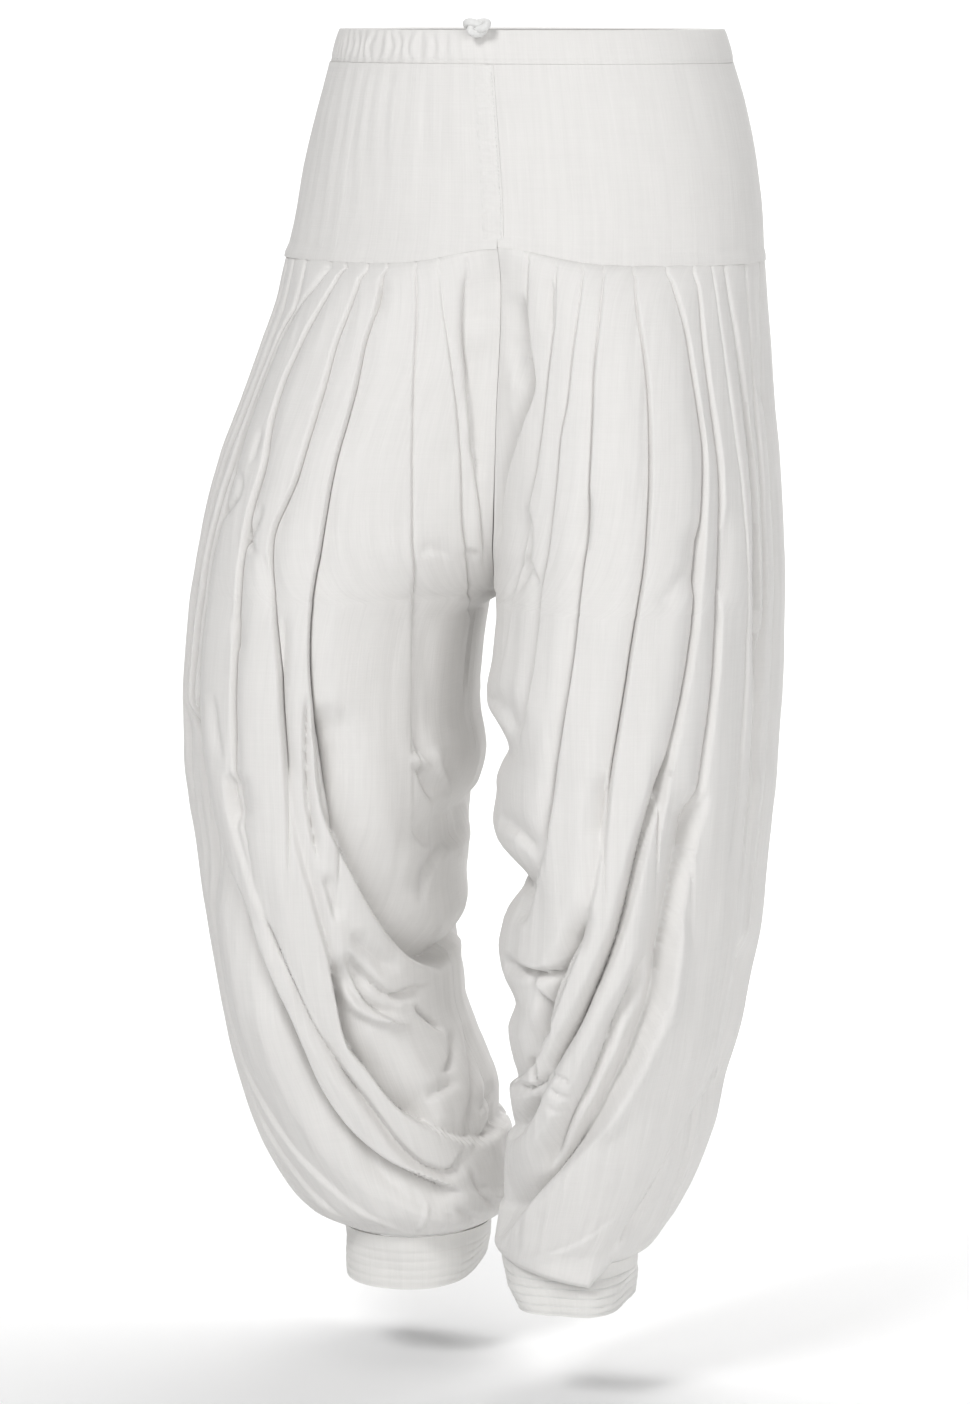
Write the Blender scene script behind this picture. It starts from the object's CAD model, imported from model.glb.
"""Looks of the patiala trousers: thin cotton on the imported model's form, in metres and in its frame.

The tables and the functions up to torso_point give the garment's own form, in millimetres, as in the solid
model. The cloth below them is finer, with pleats, creases, puckers and stitches where the picture has them.
"""

import math

import bpy
import numpy as np
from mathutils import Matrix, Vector


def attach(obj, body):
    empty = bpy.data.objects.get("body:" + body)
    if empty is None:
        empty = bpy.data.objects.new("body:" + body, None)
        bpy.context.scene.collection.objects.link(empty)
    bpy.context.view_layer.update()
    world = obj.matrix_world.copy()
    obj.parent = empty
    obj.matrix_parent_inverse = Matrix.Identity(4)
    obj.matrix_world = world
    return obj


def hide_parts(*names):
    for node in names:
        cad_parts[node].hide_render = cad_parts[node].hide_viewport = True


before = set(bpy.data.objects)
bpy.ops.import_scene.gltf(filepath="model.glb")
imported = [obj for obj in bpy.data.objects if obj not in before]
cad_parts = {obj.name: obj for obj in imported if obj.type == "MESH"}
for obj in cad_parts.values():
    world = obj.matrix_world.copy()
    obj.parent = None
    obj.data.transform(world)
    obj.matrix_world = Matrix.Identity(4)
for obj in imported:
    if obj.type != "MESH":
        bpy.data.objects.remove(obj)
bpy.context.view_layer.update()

MILLIMETRE = 0.001
SIDE = {"right": -1, "left": 1}  # which way on X each leg lies
SEAM = 0.3  # gap between neighbouring pieces
CLOTH = 0.9  # thickness of the cotton

BAND_HEIGHT = 25.0
TURN = math.radians(17)  # the front is seen from this far to the wearer's left
YOKE_SEAM = 173.0  # drop of the yoke seam at the sides
YOKE_PEAK = 13.0  # rise of that seam at the centre front
PEAK_PLACE = 8
PEAK_WIDTH = 52.0
YOKE_FADE = 90  # length of leg over which that rise is lost
CROTCH = 428.0
WEB_SHARE = 0.7  # share of the panel at which the web begins
EDGE_RUN, EDGE_FADE = 380, 95  # where the inner edge in view leaves the centre seam, and over what length
PLEATS = 11  # on each of the four leg panels

# Sections of the waist and yoke: drop, reach to the wearer's right and left of the middle, half depth
TORSO = [
    (0, 153, 147, 100),
    (25, 160, 154, 104),
    (60, 170, 164, 110),
    (100, 180, 172, 116),
    (145, 189, 177, 121),
    (173, 196, 178, 125),
]

# Where the centre front seam stands, by drop
CENTRE_LINE = [(0, -9), (173, 8), (285, 1), (325, -1), (365, -4), (400, -10), (428, -20)]

# Half the way between the centre front and the centre back seam above the crotch, and the middle of it
SPREAD = [(173, 125), (200, 112), (240, 104), (300, 97), (350, 89), (385, 76), (410, 52), (422, 29), (428, 0)]
SEAM_MIDDLE = [(173, 0), (428, -14)]

# Width of the web of cloth between a leg's own oval and the centre seam, above the crotch: run, right, left
WEB = [
    (173, 0, 0), (200, 0, 0), (240, 2, 3), (285, 17, 7),
    (325, 29, 8), (365, 33, 6), (400, 28, 4), (428, 16, 5),
]

# Sections of each leg. A run is a length along the cloth, which turns in under the leg at the ankle.
# Inner and outer are distances from the centre plane, front and back are places on Y. Above the crotch
# the web and the centre seam give the inner side, so no inner edge is stated there.
# Columns: run, drop, inner, outer, front, back
RIGHT_LEG = [
    (173, 173, None, 196, -125, 125),
    (200, 200, None, 200, -131, 127),
    (240, 240, None, 213, -138, 130),
    (285, 285, None, 229, -143, 133),
    (325, 325, None, 244, -148, 135),
    (365, 365, None, 255, -152, 136),
    (400, 400, None, 262, -156, 138),
    (428, 428, 36, 266, -158, 139),
    (445, 445, 41, 268, -159, 139),
    (475, 475, 46, 270, -161, 139),
    (515, 515, 49, 272, -162, 138),
    (555, 555, 48, 272, -162, 136),
    (590, 590, 50, 268, -161, 133),
    (630, 630, 56, 261, -159, 129),
    (670, 670, 60, 256, -155, 125),
    (710, 710, 62, 250, -150, 120),
    (750, 750, 60, 244, -144, 114),
    (790, 788, 46, 238, -136, 108),
    (830, 826, 28, 229, -126, 100),
    (870, 864, 18, 216, -115, 91),
    (905, 895, 12, 199, -105, 82),
    (925, 909, 14, 188, -100, 78),
    (943, 919, 20, 175, -93, 72),
    (960, 926, 30, 160, -84, 64),
    (972, 930, 37, 147, -76, 56),
]
LEFT_LEG = [
    (173, 173, None, 178, -125, 125),
    (200, 200, None, 180, -132, 125),
    (240, 240, None, 184, -141, 125),
    (285, 285, None, 188, -150, 125),
    (325, 325, None, 193, -158, 124),
    (365, 365, None, 197, -166, 122),
    (400, 400, None, 200, -173, 119),
    (428, 428, -15, 201, -179, 117),
    (445, 445, -15, 201, -184, 115),
    (475, 475, -14, 202, -191, 109),
    (515, 515, -11, 202, -198, 101),
    (555, 555, -5, 202, -204, 92),
    (590, 590, -1, 200, -208, 83),
    (630, 630, 5, 198, -210, 73),
    (670, 670, 7, 196, -210, 62),
    (710, 710, 8, 191, -209, 52),
    (750, 750, 12, 185, -206, 41),
    (790, 788, 13, 175, -202, 31),
    (830, 826, 12, 165, -196, 20),
    (870, 864, 8, 152, -188, 8),
    (905, 893, 5, 139, -181, -8),
    (925, 905, 4, 132, -178, -20),
    (943, 914, 3, 125, -174, -32),
    (956, 919, 5, 118, -169, -40),
    (962, 922, 8, 112, -164, -46),
]
LEG_END = {"right": 972, "left": 962}

# Pleat lines of a panel from the centre to the side, as the valleys beside the flap edges. Top, middle and
# low are fractions of the way from the inner edge of the leg to its outer edge as seen from the front, at the
# yoke, at the middle run and where the line turns inward. A line that sweeps to the inner seam ends there at
# its end run. A line that reaches the cuff ends at a fraction round it.
# Columns: top, middle run, middle, turn, low, end run, end and, on the back, the depth
BACK_LINES = {
    "right": [
        (0.09, 280, 0.08, 395, 0.08, 428, 0, 5),
        (0.18, 320, 0.13, 440, 0.09, 525, 0, 9),
        (0.28, 340, 0.24, 520, 0.18, 608, 0, 9),
        (0.38, 380, 0.38, 600, 0.36, 708, 0, 10),
        (0.48, 400, 0.53, 720, 0.50, 852, 0, 9),
        (0.58, 400, 0.66, 700, 0.66, 905, 0, 10),
        (0.69, 420, 0.77, 700, 0.80, 972, 0, 8),
        (0.79, 420, 0.86, 720, 0.90, 972, 0.42, 8),
        (0.88, 420, 0.93, 720, 0.95, 972, 0.66, 6),
        (0.95, 420, 0.975, 720, 0.985, 972, 0.86, 5),
    ],
    "left": [
        (0.10, 280, 0.085, 350, 0.085, 428, 0, 5),
        (0.19, 320, 0.14, 400, 0.10, 490, 0, 8),
        (0.29, 340, 0.22, 470, 0.16, 526, 0, 9),
        (0.39, 380, 0.36, 530, 0.30, 614, 0, 9),
        (0.49, 400, 0.50, 640, 0.42, 790, 0, 10),
        (0.59, 400, 0.64, 670, 0.60, 830, 0, 9),
        (0.69, 400, 0.75, 700, 0.72, 890, 0, 9),
        (0.78, 420, 0.84, 740, 0.86, 962, 0, 6),
        (0.86, 420, 0.91, 740, 0.93, 962, 0.66, 6),
        (0.94, 420, 0.97, 740, 0.98, 962, 0.86, 5),
    ],
}
# Lines of the front by their number, where the picture doesn't show the whole pleat
FRONT_LINES = {
    "right": {
        8: (0.895, 420, 0.96, 700, 0.985, 972, 0.40),
        9: (0.955, 420, 0.985, 700, 0.995, 972, 0.70),
        10: (0.990, 420, 0.997, 700, 0.999, 972, 0.92),
    },
    "left": {
        8: (0.785, 400, 0.85, 740, 0.86, 962, 0),
        10: (0.915, 400, 0.92, 760, 0.925, 962, 0.87),
    },
}
# How far out from the middle of the view the centre seam stands, as seen from the front and the back
SEAM_EDGE = {("right", "front"): 29, ("left", "front"): -29, ("right", "back"): 4, ("left", "back"): -4}
FIRST_END = 300  # run at which a panel's edge column leaves the centre seam
SIDE_DEPTH = 4.0  # how deep the side seam lies between its two pleats

# Sections of the cuffs: share of the way down, drop in front and behind, inner, outer, front, back
CUFFS = {
    "right": [
        (0.0, 930.3, 930.3, 37, 147, -76, 56),
        (0.2, 939, 935, 37, 146, -76, 56),
        (1.0, 973, 952, 39, 144, -76, 50),
    ],
    "left": [
        (0.0, 922.3, 922.3, 8, 112, -164, -46),
        (0.2, 930, 929, 9, 112, -164, -47),
        (1.0, 960, 957, 26, 110, -168, -54),
    ],
}
CUFF_SQUARE = {"right": 0.05, "left": 0.09}  # how far a cuff stands out at its four corners
STITCH_ROWS = (0.30, 0.47, 0.64, 0.81, 0.95)

# The strip beside the centre front seam: half its width and its shift to the wearer's right in millimetres,
# how far it rises, and as shares of half its width where it starts to flatten and where it is stitched
STRIP_HALF = 9.0
STRIP_SHIFT = 4.5
STRIP_RISE = 0.7
STRIP_FLAT = 0.86
STRIP_SEAM = 0.80

DEGREE_ROUND = 2.6  # length of a degree round the waist
CORD_RADIUS = 2.9
KNOT_SIZE = (3.1, 3.0, 1.7)  # of its loops on X, Y and Z
KNOT_PLACE = (-13, -108.2, 2.4)
SHARP_ANGLE = 72  # between faces, from which an edge is drawn sharp

# Height of the floor, and the lamps' places, aims and widths in metres and their power in watts
FLOOR = -1.033
LAMPS = [
    ("key", (-0.9, -3.2, 2.3), (0, 0, -0.4), 1.4, 76),
    ("fill", (2.3, -3.0, 0.4), (0, 0, -0.4), 2.2, 46),
    ("back_wall", (0, 1.2, 2.4), (0, 4.4, 0.2), 2.5, 160),
]


def curve(rows, at, column=1, key=0):
    """A smooth value at the place asked for, through a column of a table, with no overshoot."""
    xs = np.array([row[key] for row in rows], float)
    ys = np.array([row[column] for row in rows], float)
    steps = np.diff(ys) / np.diff(xs)
    slopes = np.zeros(len(xs))
    slopes[0], slopes[-1] = steps[0], steps[-1]
    same = steps[:-1] * steps[1:] > 0
    slopes[1:-1][same] = 2 * steps[:-1][same] * steps[1:][same] / (steps[:-1] + steps[1:])[same]
    at = np.clip(np.asarray(at, float), xs[0], xs[-1])
    i = np.clip(np.searchsorted(xs, at, side="right") - 1, 0, len(xs) - 2)
    gap = xs[i + 1] - xs[i]
    t = (at - xs[i]) / gap
    start = (1 + 2 * t) * (1 - t) ** 2 * ys[i] + t * (1 - t) ** 2 * gap * slopes[i]
    finish = t * t * (3 - 2 * t) * ys[i + 1] + t * t * (t - 1) * gap * slopes[i + 1]
    return start + finish


def ease(x):
    """A smooth step from 0 to 1."""
    x = np.clip(x, 0, 1)
    return x * x * (3 - 2 * x)


def rising(value, start, length):
    """A smooth step up from a start, over a length."""
    return ease((value - start) / length)


def ending(value, end, length):
    """A smooth step down to an end, over the length before it."""
    return ease((end - value) / length)


def within(value, start, end, soft):
    """Between a start and an end, with soft edges inside them."""
    return rising(value, start, soft) * ending(value, end, soft)


def bump(value, centre, width):
    """A round bump of height 1."""
    return np.exp(-(((value - centre) / width) ** 2))


def unit(vectors):
    """Vectors of length 1."""
    return vectors / np.maximum(np.linalg.norm(vectors, axis=-1, keepdims=True), 1e-9)


def walked(steps):
    """How far along a line each of its points lies, from the lengths of its steps."""
    return np.concatenate([[0], np.cumsum(steps)])


def leg_oval(leg, run):
    """Drop, centre and half sizes of a leg's section at a run, across the body and front to back."""
    side = SIDE[leg]
    rows = RIGHT_LEG if leg == "right" else LEFT_LEG
    drop, outer = curve(rows, run, 1), curve(rows, run, 3)
    front, back = curve(rows, run, 4), curve(rows, run, 5)
    half_depth = (back - front) / 2
    joined = side * curve(CENTRE_LINE, run) + curve(WEB, run, 1 if leg == "right" else 2)
    level = np.sqrt(1 - np.clip(curve(SPREAD, run) / half_depth, 0, 1) ** 2)
    free = (outer - curve([row for row in rows if row[2] is not None], run, 2)) / 2
    half_width = np.where(np.asarray(run) < CROTCH, (outer - joined) / (1 + level), free)
    return drop, outer - half_width, half_width, (front + back) / 2, half_depth


def medial_angle(leg, run):
    """Angle round the section, from the side seam, at which the panel meets the centre or inner seam."""
    half_depth = leg_oval(leg, run)[4]
    cut = np.clip(curve(SPREAD, run) / half_depth, 0, 1)
    return math.pi - np.arcsin(cut)


def seam_pull(leg, run, share):
    """How far a point moves outward and back, so that the legs meet at the centre seam."""
    side = SIDE[leg]
    _, centre, half_width, middle, _ = leg_oval(leg, run)
    plane = side * curve(CENTRE_LINE, run) + 0.5 * SEAM
    to_plane = plane - (centre + half_width * np.cos(medial_angle(leg, run)))
    mirrored = np.where(np.asarray(run) < CROTCH, share, 1 - np.abs(1 - share))
    web = np.clip((mirrored - WEB_SHARE) / 0.3, 0, 1.1) ** 2 * (1 - rising(run, CROTCH, 16))
    near = 1 - rising(run, CROTCH, 70)
    return to_plane * web, (curve(SEAM_MIDDLE, run) - middle) * near * share**2


def angle_across(leg, face, run, fraction):
    """Angle of the point that stands at a fraction of the leg's width in view, 0 at its inner edge."""
    side = SIDE[leg]
    _, centre, half_width, middle, half_depth = leg_oval(leg, run)
    turned = TURN if face == "front" else 0.0
    reach = np.hypot(half_width * math.cos(turned), half_depth * math.sin(turned))
    shift = side * np.arctan2(half_depth * math.sin(turned), half_width * math.cos(turned))
    origin = centre * math.cos(turned) + side * middle * math.sin(turned)
    free = rising(run, EDGE_RUN, EDGE_FADE)
    medial = medial_angle(leg, run)
    edge = SEAM_EDGE[leg, face] * (1 - free) + (origin - reach) * free
    edge = np.maximum(edge, origin + reach * np.cos(np.minimum(medial + shift, math.pi)))

    def seen_at(part):
        across = (edge + (origin + reach - edge) * part - origin) / reach
        return np.arccos(np.clip(across, -1, 1)) - shift

    near = np.clip(1 - fraction / 0.3, 0, 1) ** 4
    angle = seen_at(fraction) + (medial - seen_at(0 * fraction)) * near
    return np.maximum(angle, 0.0)


def line_path(leg, face, number, v):
    """Run, fraction across and angle along a pleat line, for v from 0 at the yoke to 1 at its end."""
    if number == 0:
        run = YOKE_SEAM + (FIRST_END - YOKE_SEAM) * v
        return run, 0 * v, medial_angle(leg, run)
    if number == PLEATS:
        return YOKE_SEAM + (LEG_END[leg] - YOKE_SEAM) * v, 0 * v + 1, 0 * v
    line = BACK_LINES[leg][number - 1] if face == "back" else FRONT_LINES[leg][number]
    top, middle_run, middle, turn, low, end_run, end = line[:7]
    bend = (turn - YOKE_SEAM) / (turn - YOKE_SEAM + 0.5 * (end_run - turn) + 300 * low + 30)
    run = YOKE_SEAM + (turn - YOKE_SEAM) * np.clip(v / bend, 0, 1)
    fraction = curve([(YOKE_SEAM, top), (middle_run, middle), (turn, low)], run)
    late = np.clip((v - bend) / (1 - bend), 0, 1)
    sweep = late * math.pi / 2
    if end_run == LEG_END[leg]:
        turned, left = late, 1 - late**3
    else:
        turned, left = np.sin(sweep) * np.sqrt(1 + np.cos(sweep) ** 2), np.cos(sweep) ** 2
    run = run + (end_run - turn) * turned
    fraction = end + (fraction - end) * left
    return run, fraction, angle_across(leg, face, run, fraction)


def row_places(leg, face):
    """Places along each pleat line of even rows, found so that the rows run square to the lines."""
    places = np.linspace(0, 1, PLACES + 1)
    lines = []
    found = []
    for k in range(PLEATS + 1):
        run, _, angle = laid_path(leg, face, k, places)
        line = leg_point(leg, face, run, angle / medial_angle(leg, run), 0 * run)
        length = walked(np.linalg.norm(np.diff(line, axis=0), axis=1))
        length = places if k in (0, PLEATS) else length / length[-1]
        lines.append(line)
        found.append(np.interp(np.linspace(0, 1, ROWS_TRIED), length, places))
    found = np.array(found)
    for _ in range(ROUNDS):
        wanted = found.copy()
        for k in range(1, PLEATS):
            near = []
            for other in (k - 1, k + 1):
                points = lines[other][np.rint(found[other] * PLACES).astype(int)]
                away = np.linalg.norm(points[:, None] - lines[k][None], axis=-1)
                near.append(places[away.argmin(1)])
            wanted[k] = np.mean(near, 0)
        mixed = 0.5 * (found + wanted)[1:-1]
        found[1:-1, 1:-1] = 0.5 * mixed[:, 1:-1] + 0.25 * (mixed[:, :-2] + mixed[:, 2:])
        found = np.maximum.accumulate(found, axis=1)
    return found


def seam_rise(angle, x):
    """How far the yoke seam stands above its side height at a place round the front."""
    front = np.sin(angle) > 0
    return np.where(front, YOKE_PEAK * bump(x, PEAK_PLACE, PEAK_WIDTH), 0)


def leg_point(leg, face, run, share, inward):
    """Points of a leg, moved inward from its section along the direction square to it."""
    side = SIDE[leg]
    turn = 1 if face == "front" else -1

    def place(run_at, share_at):
        drop, centre, half_width, middle, half_depth = leg_oval(leg, run_at)
        angle = share_at * medial_angle(leg, run_at)
        across, along = seam_pull(leg, run_at, share_at)
        x = side * (centre + half_width * np.cos(angle) + across)
        y = middle - turn * half_depth * np.sin(angle) + along
        rise = seam_rise(turn * np.sin(angle), x) * (1 - rising(run_at, YOKE_SEAM, YOKE_FADE))
        return np.stack([x, y, -drop + rise], -1)

    step = 0.5
    low, high = np.minimum(run + step, LEG_END[leg]), np.maximum(run - step, YOKE_SEAM)
    down = place(low, share) - place(high, share)
    round_it = place(run, share + 0.01) - place(run, share - 0.01)
    normal = np.cross(round_it, down) * side * turn
    normal[..., 2] *= rising(run, YOKE_SEAM, 20)  # level at the yoke, so that the walls meet edge to edge
    return place(run, share) - unit(normal) * np.asarray(inward)[..., None]


def torso_point(drop, angle, outward=0.0):
    """Points of the waist and yoke. Angle 0 is the wearer's left side and a quarter turn is the front."""
    centre = curve(CENTRE_LINE, drop)
    right, left = centre + curve(TORSO, drop, 1), curve(TORSO, drop, 2) - centre
    half_width, half_depth = np.where(np.cos(angle) < 0, right, left), curve(TORSO, drop, 3)
    x, y = half_width * np.cos(angle), -half_depth * np.sin(angle)
    nx, ny = np.cos(angle) / half_width, -np.sin(angle) / half_depth
    size = np.hypot(nx, ny)
    return np.stack([centre + x + outward * nx / size, y + outward * ny / size, -drop + 0 * x], -1)


# The camera's aim, how far above it the camera stands and how far away, in metres
LOOK_AT = (-0.0292, -0.0348, -0.514)
RISE = math.radians(8)
DISTANCE = 4.0
PIXEL = 0.00077  # metres to a picture point at the distance of the garment's middle
WIDTH, HEIGHT = 970, 1404  # of the picture
VIEW_BACK = np.array([math.sin(TURN) * math.cos(RISE), -math.cos(TURN) * math.cos(RISE), math.sin(RISE)])

# The grid of each leg panel
LEG_ROWS = 341
COLUMNS_MADE = {"front": 227, "back": 151}
LEAST_STEP = 0.0002  # from column to column, as a share of the panel
COUNTED_RUN = 400.0  # run at which the columns are shared out among the pleats
ALIGNED_RUN = 480  # run from which the columns leave the pleats, and the length over which they do
ALIGNED_FADE = 200

# Finding the rows of pleat_folds, then its strips
PLACES = 240
ROWS_TRIED = 33
ROUNDS = 8
STRIP_ROWS, STRIP_PARTS = 701, 81
FILL_ROUNDS = 12

# The crisp pleats above the knee: least shares between their lines and beside the centre, how far the
# columns crowd toward the lines, the reach of a pleat's two sides, and the slit under its edge
LINE_PLACES = 500
LINE_GAP, CENTRE_GAP = 0.006, 0.014
CROWDING = 0.72
STEEP, SLOW = 2.4, 20
SLIT_WIDTH, SLIT_DEPTH = 0.8, 0.55

# Reading lines back from the picture: a grid of runs and shares, the most that a point lies from the
# nearest of the grid, and how large a patch of cloth has to show there to count as facing the camera
LOOK_ROWS, LOOK_COLUMNS = 300, 240
RUN_CELL, SHARE_CELL = 6, 0.01
LEAST_FACING = 60
PATH_POINTS = 130
HUGE = 1e9  # more than any distance

# A line's end: its number of points, the points back from which its direction is taken, how far it goes on
# that way as a share of what is left, and the length of cloth that counts as much as a radian
END_POINTS = 30
BACK_POINTS = 6
LEAVING = 0.4
RUN_A_RADIAN = 200
EVENING = np.array([1, 2, 3, 4, 3, 2, 1]) / 16  # weights of a point's neighbours, to even out the line

FOLD_STEP = 9  # between the points of a drawn fold
FOLD_SCALE = 1.9  # of its stated depth
DEEPEST_FOLD = 28
TAPER, TAPER_SHARE = 34.0, 0.3  # length over which it fades at its ends, and the most of it as a share
BACK_DROP = 22  # how much lower the folds of the back lie
BACK_SCALE = 0.75

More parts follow.
